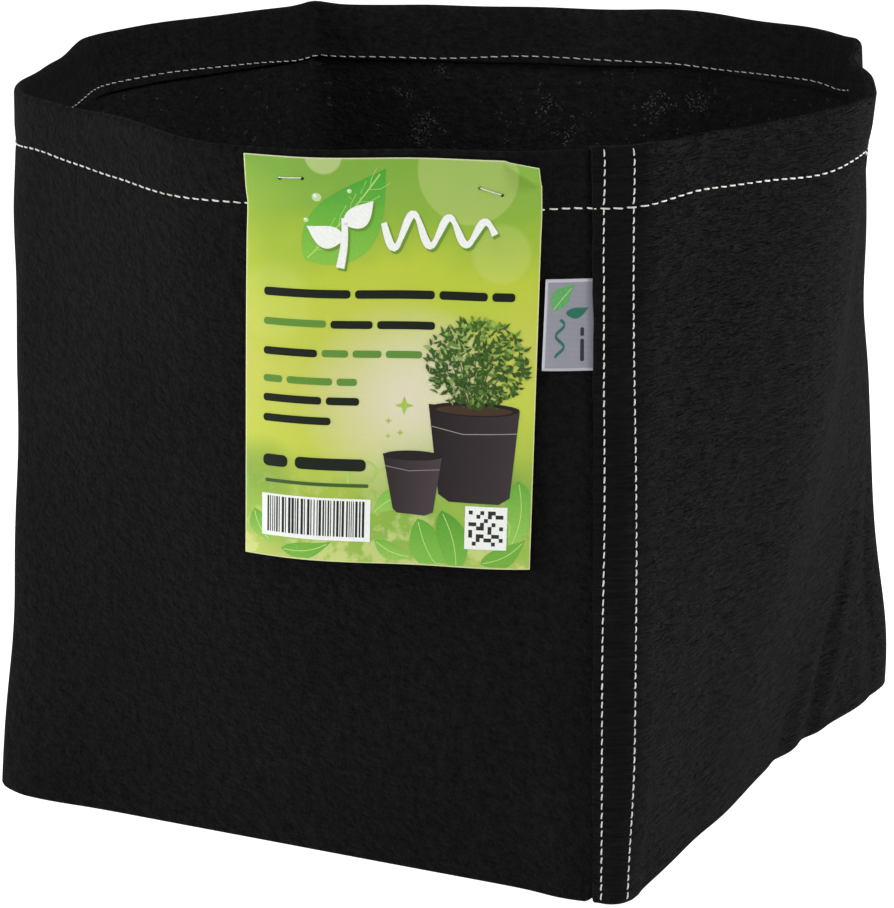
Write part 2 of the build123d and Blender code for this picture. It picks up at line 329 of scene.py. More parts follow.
def thick_sheet(name, outer, inner, uv, apart=0.6, flip=False):
    """A closed sheet from its two faces, as grids of points; apart is how far the second face's UV is moved up."""
    rows, columns = outer.shape[:2]
    count = rows * columns
    verts = np.concatenate([outer.reshape(-1, 3), inner.reshape(-1, 3)])
    faces = grid_faces(rows, columns, 0, flip) + grid_faces(rows, columns, count, not flip)
    rim = ([(i, 0) for i in range(rows)] + [(rows - 1, j) for j in range(1, columns)]
           + [(i, columns - 1) for i in range(rows - 2, -1, -1)] + [(0, j) for j in range(columns - 2, 0, -1)])
    loop = [i * columns + j for i, j in rim]
    edge = [(a, a + count, b + count, b) for a, b in zip(loop, loop[1:] + loop[:1])]
    faces += [quad[::-1] for quad in edge] if flip else edge
    flat = uv.reshape(-1, 2) * MM
    return mesh_object(name, verts, faces, np.concatenate([flat, flat + (0.0, apart)]))


def ring_faces(start, rings, sides):
    """Faces of a tube of rings, capped at both ends."""
    faces = []
    for k in range(rings - 1):
        for j in range(sides):
            a, b = start + k * sides + j, start + k * sides + (j + 1) % sides
            faces.append((a, b, b + sides, a + sides))
    last = start + (rings - 1) * sides
    return faces + [tuple(range(start, start + sides))[::-1], tuple(range(last, last + sides))]


def tube(points, radius, sides=8):
    """Vertices and faces of a round wire along a path."""
    points = np.asarray(points, float)
    ahead = unit(np.gradient(points, axis=0))
    side = np.cross(ahead, np.roll(ahead[0], 1))[0:1].repeat(len(points), 0)
    side = unit(side - ahead * np.sum(side * ahead, 1, keepdims=True))
    third = np.cross(ahead, side)
    angle = np.arange(sides) * tau / sides
    verts = [p + radius * (np.cos(a) * e + np.sin(a) * f) for p, e, f in zip(points, side, third) for a in angle]
    return verts, ring_faces(0, len(points), sides)


def stitch_row(name, ends, proud=0.62, sunk=0.3, thick=0.4, sides=7):
    """Sewn stitches from (start, end, outward) triples: each is a plump twist with its ends drawn into the felt."""
    verts, faces, uv = [], [], []
    t = np.linspace(-1, 1, 9)
    body = np.sqrt(np.maximum(1 - np.abs(t) ** 5, 0.04))
    angle = np.arange(sides) * tau / sides
    for k, (start, end, outward) in enumerate(ends):
        outward, ahead = unit(outward), unit(end - start)
        side = np.cross(ahead, outward)
        slant = 0.16 * side * (1 + 0.3 * sin(k * 2.3))
        size = thick * (1 + 0.07 * sin(k * 1.7) + 0.05 * sin(k * 0.61))
        rise = (proud - size) * (1 - t ** 2) - (sunk + size) * t ** 4
        centre = (start + end) / 2
        half = np.linalg.norm(end - start) / 2
        faces += ring_faces(len(verts), len(t), sides)
        for i, ti in enumerate(t):
            c = centre + ahead * half * ti + slant * ti + outward * rise[i]
            for a in angle:
                verts.append(c + size * body[i] * (cos(a) * side + 0.85 * sin(a) * outward))
                uv.append(((k * 2.1 + ti) * 1.7 * MM, a / tau * 2.6 * MM))
    return mesh_object(name, verts, faces, uv)


# ---- materials


class Shader:
    """A node material: calls add nodes, and anything that isn't a socket is set on the node's own socket."""

    def __init__(self, name):
        self.material = bpy.data.materials.new(name)
        self.material.use_nodes = True
        self.tree = self.material.node_tree
        self.tree.nodes.clear()
        self.surface = self.node("BsdfPrincipled")
        output = self.node("OutputMaterial")
        self.tree.links.new(self.surface.outputs[0], output.inputs[0])

    def node(self, kind, sockets=None, **settings):
        made = self.tree.nodes.new("ShaderNode" + kind)
        for key, value in settings.items():
            setattr(made, key, value)
        for key, value in (sockets or {}).items():
            self.put(made, key, value)
        return made

    def put(self, made, key, value):
        socket = made.inputs[key]
        if isinstance(value, bpy.types.NodeSocket):
            self.tree.links.new(value, socket)
        elif isinstance(value, tuple) and len(value) == 3 and socket.type == "RGBA":
            socket.default_value = (*value, 1.0)
        else:
            socket.default_value = value

    def look(self, **sockets):
        for key, value in sockets.items():
            self.put(self.surface, key.replace("_", " "), value)
        return self.material

    def uv(self):
        return self.node("UVMap", uv_map="Cloth").outputs[0]

    def parts(self, vector):
        return self.node("SeparateXYZ", {"Vector": vector}).outputs[:2]

    def mapped(self, vector, scale, turn=0.0):
        return self.node("Mapping", {"Vector": vector, "Scale": scale,
                                     "Rotation": (0, 0, radians(turn))}).outputs[0]

    def noise(self, vector, scale, detail=2.0, rough=0.5, kind="2D"):
        """Noise, and a scale of three numbers stretches it."""
        if isinstance(scale, tuple):
            vector, scale = self.mapped(vector, scale), 1.0
        return self.node("TexNoise", {"Vector": vector, "Scale": scale, "Detail": detail, "Roughness": rough},
                         noise_dimensions=kind).outputs["Fac"]

    def bands(self, vector, scale, distortion, direction="X", detail=2.0):
        return self.node("TexWave", {"Vector": vector, "Scale": scale, "Distortion": distortion, "Detail": detail},
                         wave_type="BANDS", bands_direction=direction).outputs["Fac"]

    def times(self, a, b):
        return self.node("Math", {0: a, 1: b}, operation="MULTIPLY").outputs[0]

    def plus(self, a, b):
        return self.node("Math", {0: a, 1: b}, operation="ADD").outputs[0]

    def span(self, value, low, high, to_low=0.0, to_high=1.0):
        return self.node("MapRange", {"Value": value, "From Min": low, "From Max": high,
                                      "To Min": to_low, "To Max": to_high}).outputs[0]

    def spread(self, noise, low=0.0, high=1.0):
        """A noise's middle range, stretched from low to high."""
        return self.span(noise, 0.3, 0.7, low, high)

    def disc(self, vector, x, y, edge, full):
        """0 from edge metres outwards of a point, and 1 from full inwards."""
        middle = self.node("CombineXYZ", {"X": x, "Y": y}).outputs[0]
        apart = self.node("VectorMath", {0: vector, 1: middle}, operation="DISTANCE").outputs["Value"]
        return self.span(apart, edge, full)

    def mix(self, fac, a, b):
        return self.node("Mix", {0: fac, 6: a, 7: b}, data_type="RGBA").outputs[2]

    def bump(self, height, strength, distance, **normal):
        return self.node("Bump", {"Height": height, "Strength": strength, "Distance": distance, **normal}).outputs[0]


def rgb(r, g, b):
    """A colour as seen on a screen, in linear light."""
    return tuple(c / 12.92 if c <= 0.04045 else ((c + 0.055) / 1.055) ** 2.4 for c in (r / 255, g / 255, b / 255))


# clusters of lint on the inside of the wall: place along and up the strip, and reach, in metres
LINT = ((0.446, 0.880, 0.013), (0.424, 0.885, 0.013), (0.506, 0.879, 0.011), (0.568, 0.866, 0.015),
        (0.577, 0.884, 0.008), (0.558, 0.896, 0.007), (0.491, 0.868, 0.011))
# metres up the strip's own coordinate: from the first, the hem's turned-in layer, and from the second, the cloth's
# other face, which is what shows below the hem inside the bag
TURNED_IN, OTHER_FACE = (0.3285, 0.3300), (0.59, 0.60)
# painted light: how much paler the felt is made inside the bag, standing in for light that reaches inside it
INSIDE_PAINTED_LIGHT = 1.9


def felt(name, dark, light, lint):
    """Needle-punched felt: matted or combed fibres, cloudy wear, lint inside the bag, and painted light that makes the
    felt paler inside the bag.
    """
    sh = Shader(name)
    uv = sh.uv()
    along, up = sh.parts(uv)
    # long fibres show on the wall right of the seam; the rest is matted, and smoother, as is the pressed lap
    combed = sh.span(along, 0.29, 0.37, 1.0, 0.0)
    streaks = sh.mix(combed, sh.noise(uv, (420, 640, 1), 4.0, 0.62), sh.noise(uv, (110, 900, 1), 4.0, 0.62))
    cross = sh.noise(uv, (1300, 380, 1), 3.0, 0.6)
    clumps = sh.mix(combed, sh.noise(uv, (170, 230, 1), 3.0, 0.65), sh.noise(uv, (66, 330, 1), 3.0, 0.65))
    fibre = sh.plus(sh.plus(sh.times(streaks, 0.42), sh.times(cross, 0.20)), sh.times(clumps, 0.38))
    cloudy = sh.spread(sh.noise(uv, 18.0, 3.0, 0.6), 0.66, 1.0)
    shade = sh.times(sh.span(fibre, 0.36, 0.64), cloudy)
    inner = sh.span(up, *TURNED_IN)
    relief = sh.times(sh.span(combed, 0.0, 1.0, 0.36, 1.0), sh.span(inner, 0.0, 1.0, 1.0, 0.6))
    relief = sh.times(relief, sh.span(along, 0.008, 0.014, 0.5, 1.0))
    # painted light: the felt is made paler on the hem's turned-in layer and on the cloth's other face, inside the bag
    painted_inside = sh.mix(shade, *(tuple(INSIDE_PAINTED_LIGHT * c for c in colour) for colour in (dark, light)))
    colour = sh.mix(inner, sh.mix(shade, dark, light), painted_inside)
    cells = sh.node("TexVoronoi", {"Vector": uv, "Scale": 640.0}, voronoi_dimensions="2D", feature="F1")
    patches = sh.span(sh.noise(uv, 24.0, 2.0, 0.5), 0.58, 0.74, 0.0, 0.35)
    for x, y, reach in LINT:
        patches = sh.node("Math", {0: patches, 1: sh.disc(uv, x, y, reach, 0.0)}, operation="MAXIMUM").outputs[0]
    crowd = sh.plus(sh.noise(uv, 190.0, 2.0, 0.6), sh.times(patches, 0.30))
    specks = sh.times(sh.span(cells.outputs["Distance"], 0.32, 0.08), sh.span(crowd, 0.64, 0.76))
    specks = sh.times(specks, sh.times(sh.span(up, *OTHER_FACE), lint))
    colour = sh.mix(specks, colour, (0.11, 0.11, 0.105))
    fine = sh.bump(fibre, relief, 0.0030, Normal=sh.bump(clumps, relief, 0.0085))
    pile = sh.bump(sh.noise(uv, 2600.0, 2.0, 0.7), 0.5, 0.00018, Normal=fine)
    return sh.look(Base_Color=colour, Roughness=sh.spread(fibre, 0.98, 0.86), Normal=pile,
                   Sheen_Weight=0.02, Sheen_Roughness=0.45, Specular_IOR_Level=0.05)


def thread_finish(name, colour):
    """Three-ply sewing thread."""
    sh = Shader(name)
    uv = sh.uv()
    plies = sh.bands(sh.mapped(uv, (1, 1.3, 1), 34), 330.0, 0.6, detail=1.0)
    worn = sh.spread(sh.noise(uv, 60.0, 2.0, 0.6), 0.8, 1.0)
    tone = sh.times(sh.span(plies, 0.0, 1.0, 0.72, 1.0), worn)
    shaded = sh.mix(tone, tuple(c * 0.35 for c in colour), colour)
    return sh.look(Base_Color=shaded, Roughness=sh.span(plies, 0, 1, 0.7, 0.5), Normal=sh.bump(plies, 0.7, 0.0002),
                   Sheen_Weight=0.2, Sheen_Roughness=0.4)


def ink_finish(name, rough, grain):
    """Printed ink whose colour is held by the mesh, with the print's fine unevenness."""
    sh = Shader(name)
    ink = sh.node("VertexColor", layer_name="Ink").outputs["Color"]
    uneven = sh.noise(sh.uv(), 900.0, 3.0, 0.6)
    shade = sh.mix(sh.spread(uneven, 0.0, grain), ink, (0.02, 0.03, 0.01))
    return sh.look(Base_Color=shade, Roughness=sh.spread(uneven, rough, rough + 0.12),
                   Specular_IOR_Level=0.2)


def card_finish(name):
    """The card's printed ground: green at the top, yellower below, a pale glow right of the middle, soft discs."""
    sh = Shader(name)
    uv = sh.uv()
    across, down = sh.parts(uv)
    wobble = sh.times(sh.spread(sh.noise(uv, 16.0, 3.0, 0.5), -1.0, 1.0), 0.010)
    place = sh.node("Math", {0: sh.plus(down, wobble), 1: CARD_HEIGHT * MM}, operation="DIVIDE").outputs[0]
    ramp = sh.node("ValToRGB", {"Fac": place})
    stops = ((0.0, rgb(119, 166, 55)), (0.12, rgb(134, 173, 51)), (0.3, rgb(180, 196, 51)), (0.48, rgb(193, 198, 81)),
             (0.66, rgb(189, 200, 68)), (0.8, rgb(147, 178, 58)), (0.92, rgb(147, 183, 68)), (1.0, rgb(184, 196, 97)))
    for at, _ in stops[1:-1]:
        ramp.color_ramp.elements.new(at)
    for element, (_, colour) in zip(ramp.color_ramp.elements, stops):
        element.color = (*colour, 1)
    colour = ramp.outputs[0]
    # discs: middle, radius and soft edge in millimetres, strength and tint
    for x, y, radius, edge, strength, tint in (
            (67, 101, 44, 42, 0.92, rgb(218, 211, 187)), (79, 90, 30, 28, 0.45, rgb(225, 216, 196)),
            (33, -1, 8, 0.8, 0.55, rgb(201, 211, 150)), (92, 6, 21, 0.8, 0.32, rgb(201, 209, 132)),
            (106, 38, 13, 2.0, 0.18, rgb(219, 221, 141)), (12, 60, 18, 5.0, 0.16, rgb(219, 218, 132)),
            (8, 132, 16, 10.0, 0.35, rgb(93, 141, 53)), (112, 140, 20, 12.0, 0.45, rgb(90, 141, 46)),
            (70, 158, 30, 18.0, 0.35, rgb(102, 155, 50))):
        soft = sh.disc(uv, x * MM, y * MM, radius * MM, (radius - edge) * MM)
        colour = sh.mix(sh.times(soft, strength), colour, tint)
    leafy = sh.times(sh.span(sh.noise(uv, 75.0, 4.0, 0.65), 0.5, 0.62), sh.span(down, 0.128, 0.158))
    colour = sh.mix(sh.times(leafy, 0.5), colour, rgb(220, 221, 150))
    grain = sh.noise(uv, 1500.0, 2.0, 0.6)
    colour = sh.mix(sh.spread(grain, 0.0, 0.06), colour, (0.1, 0.13, 0.03))
    for value, size in ((across, CARD_WIDTH), (down, CARD_HEIGHT)):
        for low, high in ((0.6, 0.1), (size - 0.6, size - 0.1)):
            colour = sh.mix(sh.span(value, low * MM, high * MM), colour, rgb(216, 218, 167))
    return sh.look(Base_Color=colour, Roughness=sh.spread(grain, 0.34, 0.46), Specular_IOR_Level=0.4,
                   Normal=sh.bump(sh.noise(uv, 420.0, 3.0, 0.55), 0.12, 0.0001))


def paper_finish(name):
    """Uncoated back and cut edges of the card."""
    sh = Shader(name)
    uv = sh.uv()
    fibres = sh.noise(sh.mapped(uv, (1, 2.5, 1), 20), 500.0, 4.0, 0.6)
    colour = sh.mix(sh.spread(fibres), rgb(214, 218, 200), rgb(236, 238, 226))
    return sh.look(Base_Color=colour, Roughness=0.75, Normal=sh.bump(fibres, 0.3, 0.0001))


def label_finish(name):
    """Silver satin tape, with painted highlights along its folded edge, its top and its bottom."""
    sh = Shader(name)
    uv = sh.uv()
    across, up = sh.parts(uv)
    weft, warp = sh.bands(uv, 620.0, 0.4, "Y"), sh.bands(uv, 480.0, 0.5)
    weave = sh.times(weft, sh.span(warp, 0, 1, 0.55, 1.0))
    cloudy = sh.noise(uv, 120.0, 3.0, 0.6)
    colour = sh.mix(sh.span(weave, 0.0, 1.0), rgb(120, 120, 131), rgb(157, 157, 169))
    colour = sh.mix(sh.spread(cloudy, 0.0, 0.25), colour, rgb(129, 129, 138))
    high = (LABEL_HIGH - LABEL_LOW) * MM
    # painted highlights: paler along the bottom and top edges and along the folded edge
    for value, a, b in ((up, 0.0013, 0.0009), (up, high - 0.0013, high - 0.0009), (across, 0.0012, 0.0008)):
        colour = sh.mix(sh.span(value, a, b), colour, rgb(184, 184, 191))
    return sh.look(Base_Color=colour, Roughness=sh.span(weave, 0, 1, 0.55, 0.4), Sheen_Weight=0.3,
                   Normal=sh.bump(weave, 0.5, 0.00012))


def wire_finish(name):
    """Plated staple wire with fine drawing lines."""
    sh = Shader(name)
    where = sh.node("TexCoord").outputs["Object"]
    lines = sh.noise(where, (900, 900, 9000), 3.0, 0.6, "3D")
    colour = sh.mix(sh.spread(lines), (0.62, 0.63, 0.62), (0.88, 0.89, 0.88))
    return sh.look(Base_Color=colour, Metallic=0.45, Roughness=sh.spread(lines, 0.22, 0.4),
                   Normal=sh.bump(lines, 0.2, 0.00005))


wall_felt = felt("black_wall_felt", (0.0028, 0.0028, 0.0028), (0.0086, 0.0086, 0.0085), 1.0)
base_felt = felt("black_base_felt", (0.0010, 0.0010, 0.0010), (0.0090, 0.0090, 0.0088), 0.0)
thread = thread_finish("pale_thread", rgb(228, 228, 222))
card_front, card_paper = card_finish("card_print_ground"), paper_finish("card_board")
card_ink, label_ink = ink_finish("card_ink", 0.36, 0.10), ink_finish("label_ink", 0.5, 0.22)
label_tape, wire = label_finish("silver_label_tape"), wire_finish("plated_wire")


def finish_piece(obj, material, node):
    obj.data.materials.append(material)
    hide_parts(node)
    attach(obj, "bag")
    return obj


# ---- side wall: one strip, lapped at the corner, turned in at the mouth and at the base
FOLD_R = LAYER / 2
turn = np.linspace(0, pi, 7)[1:-1]
lower = np.linspace(ALLOWANCE, FOLD_R + CLOTH / 2, 4)
RIM_Z = HEIGHT - FOLD_R - CLOTH / 2
upper_in = steps((RIM_Z, 300, 5, False), (300, HEIGHT - HEM_DEPTH, 9))
# the rows are closer together about the hem's stitches
outside = steps((FOLD_R + CLOTH / 2, 284, 61, False), (284, 306, 19, False), (306, RIM_Z, 6))
# the path of the strip's middle, up its cross-section: height, inset, and the way its shown face looks
IN, OUT = CLOTH / 2 + LAYER, CLOTH / 2
path = ([(z, IN, 0, 1) for z in lower]
        + [(lower[-1] - FOLD_R * sin(a), (IN + OUT) / 2 + FOLD_R * cos(a), -sin(a), cos(a)) for a in turn]
        + [(z, OUT, 0, -1) for z in outside]
        + [(outside[-1] + FOLD_R * sin(a), (IN + OUT) / 2 - FOLD_R * cos(a), sin(a), -cos(a)) for a in turn]
        + [(z, IN, 0, 1) for z in upper_in])
path_z, path_in, face_z, face_in = (np.array(c) for c in zip(*path))
path_length = np.concatenate([[0], np.cumsum(np.hypot(np.diff(path_z), np.diff(path_in)))])
SEAM_REACH, SEAM_STEP = 18, 0.85
first = np.arange(-LAP, SEAM_REACH, SEAM_STEP)
strip_u = np.concatenate([first, np.linspace(first[-1], AROUND - SEAM_REACH, 366)[1:-1],
                          np.arange(AROUND - SEAM_REACH, AROUND + LAP, SEAM_STEP), [AROUND + LAP]])


def wall_face(side):
    """One face of the strip: side +1 is the face that shows outside, -1 the other."""
    u, z, inset = strip_u[:, None], path_z[None, :], path_in[None, :]
    rise = lap_rise(u, z) + 0 * z
    under = LAYER * smooth(u, AROUND - 17, AROUND - 11) + 0 * z
    half = rise + side * half_cloth(u)
    at_z = z + face_z * half
    at_in = inset + face_in * half
    # at the base the lap's outer layer wraps the layer inside it, which ends higher, and turns in only a little
    low = 1 - smooth(z, 2, 26)
    at_z = at_z + low * (rise + under)
    tucked = (inset > CLOTH) & (z < 60)
    at_z = np.where(tucked & (rise > 0.1), np.minimum(at_z, 6.0 + 0 * at_z), at_z)
    ragged = 0.2 * np.sin(z / 7.0 + 1) + 0.12 * np.sin(z / 2.9)
    edge = smooth(-u, LAP - 2, LAP) - smooth(u, AROUND + LAP - 2, AROUND + LAP)
    s = shifted(np.where(u > AROUND / 2, u - AROUND, u), z) + np.where(u > AROUND / 2, AROUND, 0) - ragged * edge
    return wall(s, at_in, at_z)


strip_uv = np.stack(np.meshgrid(strip_u, path_length, indexing="ij"), -1)
sidewall = thick_sheet("sidewall_felt", wall_face(1), wall_face(-1), strip_uv)
finish_piece(sidewall, wall_felt, "sidewall_panel")

# ---- base panel: a square turned up inside the wall
BASE_IN, BASE_TURN = 2 * LAYER, 2.2
ring_s = steps(*((k * QUARTER + a, k * QUARTER + b, n, False) for k in range(4)
                 for a, b, n in ((-BEND / 2, BEND / 2, 8), (BEND / 2, QUARTER - BEND / 2, 69))))
ring_s = np.append(ring_s, ring_s[0] + AROUND)


def lap_room(s):
    """Room that the lap's second layer takes up inside the wall."""
    return LAYER * close_to(s, 0, 20, 11)


def base_face(side):
    flange = BASE_IN + CLOTH / 2 + lap_room(ring_s)
    rows = []
    outline = floor_point(ring_s, flange + BASE_TURN)
    for part in np.linspace(0.002, 1, 40):
        flat = outline * part
        up = (0.9 + 0.7 * np.sin(flat[:, 0] / 41.0 + 1) * np.sin(flat[:, 1] / 53.0)
              + 0.35 * np.sin(flat[:, 0] / 19.0 + flat[:, 1] / 27.0)) * (1 - smooth(part, 0.82, 0.97))
        rows.append(at_height(flat, CLOTH / 2 + np.maximum(up, 0) - side * CLOTH / 2))
    for a in np.linspace(0, pi / 2, 6)[1:]:
        reach = BASE_TURN + side * CLOTH / 2
        flat = floor_point(ring_s, flange + BASE_TURN - reach * sin(a))
        rows.append(at_height(flat, CLOTH / 2 + BASE_TURN - reach * cos(a)))
    edge = floor_point(ring_s, flange - side * CLOTH / 2)
    return np.array(rows + [at_height(edge, z) for z in np.linspace(4.2, ALLOWANCE, 4)])


def base_sheet():
    outer, inner = base_face(1), base_face(-1)
    rows, columns = outer.shape[:2]
    count = rows * columns
    verts = np.concatenate([outer.reshape(-1, 3), inner.reshape(-1, 3)])
    faces = grid_faces(rows, columns, 0, True) + grid_faces(rows, columns, count)
    last = (rows - 1) * columns
    faces += [(last + j + 1, last + j, last + j + count, last + j + 1 + count) for j in range(columns - 1)]
    middle = len(verts)
    verts = np.concatenate([verts, [outer[0].mean(0)], [inner[0].mean(0)]])
    faces += [(j, j + 1, middle) for j in range(columns - 1)]
    faces += [(count + j + 1, count + j, middle + 1) for j in range(columns - 1)]
    obj = mesh_object("base_felt", verts, faces, verts[:, :2] * MM)
    bm = bmesh.new()
    bm.from_mesh(obj.data)
    bmesh.ops.remove_doubles(bm, verts=bm.verts, dist=1e-6)
    bmesh.ops.recalc_face_normals(bm, faces=bm.faces)
    bm.to_mesh(obj.data)
    bm.free()
    return obj


base = finish_piece(base_sheet(), base_felt, "base_panel")

# ---- stitches
PITCH, STITCH = 4.0, 3.4
HEM_PITCH, HEM_STITCH = 5.25, 4.5
BASE_ROW_IN, BASE_ROW_HIDDEN = 6.6, 6.0


def sew(name, node, point, start, length, pitch=PITCH, stitch=STITCH, **shape):
    """A row of stitches along point(t, off), which gives a place off millimetres out of the cloth."""
    count = int(round(length / pitch))
    t = start + (np.arange(count) + 0.5) * length / count
    t = t + 0.12 * np.sin(np.arange(count) * 1.9)
    ends = zip(point(t - stitch / 2, 0.0), point(t + stitch / 2, 0.0), point(t, 1.0) - point(t, 0.0))
    return finish_piece(stitch_row(name, ends, **shape), thread, node)


def outside_hem(t, off):
    return skin(t, row_height(t), off)


def inside_hem(t, off):
    z, d = row_height(t), from_station(t, 0)
    return wall(shifted(t, z), LAYER + CLOTH + landing(d) * (d >= -LAP) + off, z)


def seam_outside(u):
    """A row up the lap, which follows the rim's rounded top."""
    radius = FOLD_R + CLOTH / 2 + LAP_RISE

    def point(z, off):
        over = np.clip(z - RIM_Z, 0, radius * 0.95)
        return skin(u + 0 * z + 0.25 * np.sin(z / 23.0), z, off - radius + np.sqrt(radius ** 2 - over ** 2))
    return point


def seam_inside(u):
    return lambda z, off: wall(shifted(u + 0 * z + 0.25 * np.sin(z / 23.0), z), CLOTH + off, z)


def base_inside(t, off):
    return at_height(floor_point(t, BASE_IN + CLOTH + lap_room(t) + off), BASE_ROW_IN)


def base_hidden(t, off):
    return at_height(floor_point(t, CLOTH + LAYER_GAP / 2 + 0.2 + off * 0.5), BASE_ROW_HIDDEN)


hem_needle = sew("hem_stitches_outside", "hem_needle_thread", outside_hem, -AROUND / 2, AROUND,
                 HEM_PITCH, HEM_STITCH, proud=0.6, thick=0.37)
hem_bobbin = sew("hem_stitches_inside", "hem_bobbin_thread", inside_hem, -AROUND / 2, AROUND,
                 HEM_PITCH, HEM_STITCH, proud=0.45, thick=0.26)
for side, u in (("left", -ROW), ("right", ROW)):
    sew(f"seam_{side}_stitches_outside", f"seam_{side}_needle_thread", seam_outside(u), 2.5, HEIGHT - 1.5,
        proud=0.56, thick=0.33)
    sew(f"seam_{side}_stitches_inside", f"seam_{side}_bobbin_thread", seam_inside(u), 12.0, 276.0)
seen = sew("base_stitches_inside", "base_seam_needle_thread", base_inside, 0, AROUND)
hidden = sew("base_stitches_hidden", "base_seam_bobbin_thread", base_hidden, 0, AROUND, proud=0.1, sunk=0.1, thick=0.2)

# ---- shapes printed on the card and the label


def bar(x, y, w, h, r=None):
    """A rectangle with rounded ends, x and y its left top corner."""
    r = min(w, h) / 2 * 0.8 if r is None else r
    corners = [(x + w - r, y + h - r, 0), (x + r, y + h - r, 90), (x + r, y + r, 180), (x + w - r, y + r, 270)]
    return [(cx + r * cos(radians(a + t)), cy + r * sin(radians(a + t)))
            for cx, cy, a in corners for t in ((0, 30, 60, 90) if r > 0 else (0,))]


def disc(x, y, rx, ry=None, n=28):
    ry = rx if ry is None else ry
    return [(x + rx * cos(t), y + ry * sin(t)) for t in np.linspace(0, tau, n, endpoint=False)]


def turned(x, y, turn, points):
    """Points turned by some degrees about the origin, then moved to x, y."""
    c, w = cos(radians(turn)), sin(radians(turn))
    return [(x + p * c - q * w, y + p * w + q * c) for p, q in points]


def leaf(x, y, length, width, turn, bow=0.0, n=12):
    """A pointed leaf from its stalk at x, y, along turn degrees."""
    t = np.linspace(0, 1, n)
    half = width / 2 * np.sin(pi * t ** 0.8) * (1 - 0.25 * t)
    spine = bow * length * np.sin(pi * t)
    left = [(length * i, h + o) for i, h, o in zip(t, half, spine)]
    right = [(length * i, -h + o) for i, h, o in zip(t, half, spine)][::-1][1:-1]
    return turned(x, y, turn, left + right)


def star(x, y, r, inner=0.3, points=4):
    return [(x + k * cos(t), y + k * sin(t)) for t, k in
            zip(np.arange(points * 2) * pi / points - pi / 2, [r, r * inner] * points)]


def stroke(points, width):
    """A line of the given width along points, as one outline."""
    points = np.asarray(points, float)
    ahead = unit(np.gradient(points, axis=0))
    side = np.column_stack([-ahead[:, 1], ahead[:, 0]]) * np.broadcast_to(width, len(points))[:, None] / 2
    return [tuple(p) for p in np.concatenate([points + side, (points - side)[::-1]])]


def curl(x, y, r, start, sweep):
    t = np.linspace(0, 1, 26)
    a, r = np.radians(start + sweep * t), r * (1 - 0.75 * t)
    return np.column_stack([x + r * np.cos(a), y + r * np.sin(a)])


def printed(name, shapes, place, material, step, cuts=()):
    """Flat shapes (outline, colour, layer) as a thin print on a curved surface."""
    mesh = bpy.data.meshes.new(name)
    bm = bmesh.new()
    ink = bm.loops.layers.float_color.new("Ink")
    uv = bm.loops.layers.uv.new("Cloth")
    for outline, colour, layer in shapes:
        verts = [bm.verts.new((x, y, layer)) for x, y in outline]
        face = bm.faces.new(verts)
        for loop in face.loops:
            shade = colour(loop.vert.co.x, loop.vert.co.y) if callable(colour) else colour
            loop[ink] = (*shade, 1.0)
    bmesh.ops.triangulate(bm, faces=bm.faces)
    span = [v.co.x for v in bm.verts]
    planes = [((x, 0, 0), (1, 0, 0)) for x in np.arange(np.floor(min(span) / step) * step, max(span), step)]
    for at, normal in planes + [((0, y, 0), (0, 1, 0)) for y in cuts]:
        geometry = bm.verts[:] + bm.edges[:] + bm.faces[:]
        bmesh.ops.bisect_plane(bm, geom=geometry, plane_co=at, plane_no=normal, dist=1e-5)
    for face in bm.faces:
        for loop in face.loops:
            loop[uv].uv = (loop.vert.co.x * MM, loop.vert.co.y * MM)
    flat = np.array([v.co for v in bm.verts])
    moved = place(flat[:, 0], flat[:, 1], 0.04 + 0.026 * flat[:, 2]) * MM
    for vert, co in zip(bm.verts, moved):
        vert.co = co
    bm.to_mesh(mesh)
    bm.free()
    mesh.materials.append(material)
    return new_object(name, mesh)


# ---- information card
crease = next(joint for joint in frame["joints"] if joint["name"] == "card_crease")
crease_at, crease_line = np.array(crease["pos_m"]) / MM, np.array(crease["axis"])
CARD_HANG = radians(2.3)
CARD_TWIST, CARD_BOW, CARD_CURL = 15.5, 1.2, 0.8
CARD_SWAY, CARD_DROP = 0.0265, 0.007   # along the crease and down, for each millimetre


def dog_ear(p, q, off):
    """The card's top right corner, bent forward about a slanting line."""
    across, down = 0.56, 0.83
    past = np.maximum((p - (CARD_WIDTH - 17.0)) * across - q * down, 0)
    bend = np.radians(40) * smooth(past, 0, 2.5)
    inward = past * (1 - np.cos(bend))
    return p - inward * across, q + inward * down, off + past * np.sin(bend)


def card_point(p, q, off):
    """A point of the card from its top left corner, off millimetres proud of its back."""
    p, q, off = (v.astype(float) for v in np.broadcast_arrays(p, q, off))
    p, q, off = dog_ear(p, q, off)
    part = p / CARD_WIDTH
    s, z = CARD_LEFT + p + 1.2 * (1 - part), CARD_TOP - q + 1.1 * (1 - part) * (1 - smooth(q, 4, 18))
    # the stapled strip lies on the wall, clear of the hem's bulge
    top, fold = wall(s, -(CARD_OFF + off), np.maximum(z, CREASE_Z)), wall(s, -(CARD_OFF + off), CREASE_Z)
    below = np.maximum(CREASE_Z - z, 0)
    # the board twists below its staples: its left side swings in towards the wall, its right side drops a little
    bow = CARD_BOW * np.sin(pi * part) * smooth(below, 0, 150) + 0.5
    bow = bow - CARD_CURL * hill(p, CARD_WIDTH, 14) * smooth(below, 90, 152)
    bow = bow - CARD_TWIST * smooth(below, 0, 190) * (1 - part)
    hang = fold + np.cross([0, 0, 1], crease_line) * bow[..., None] + crease_line * (CARD_SWAY * below)[..., None]
    hang[..., 2] -= below + CARD_DROP * p * smooth(below, 0, 60)
    # then it hangs turned about its crease
    arm, c = hang - crease_at, cos(CARD_HANG)
    hang = (crease_at + arm * c + np.cross(crease_line, arm) * sin(CARD_HANG)
            + crease_line * ((arm @ crease_line) * (1 - c))[..., None])
    level = smooth(below, 0, 14)[..., None]
    straight = fold - [0, 0, 1] * below[..., None]
    return np.where((z >= CREASE_Z)[..., None], top, straight * (1 - level) + hang * level)


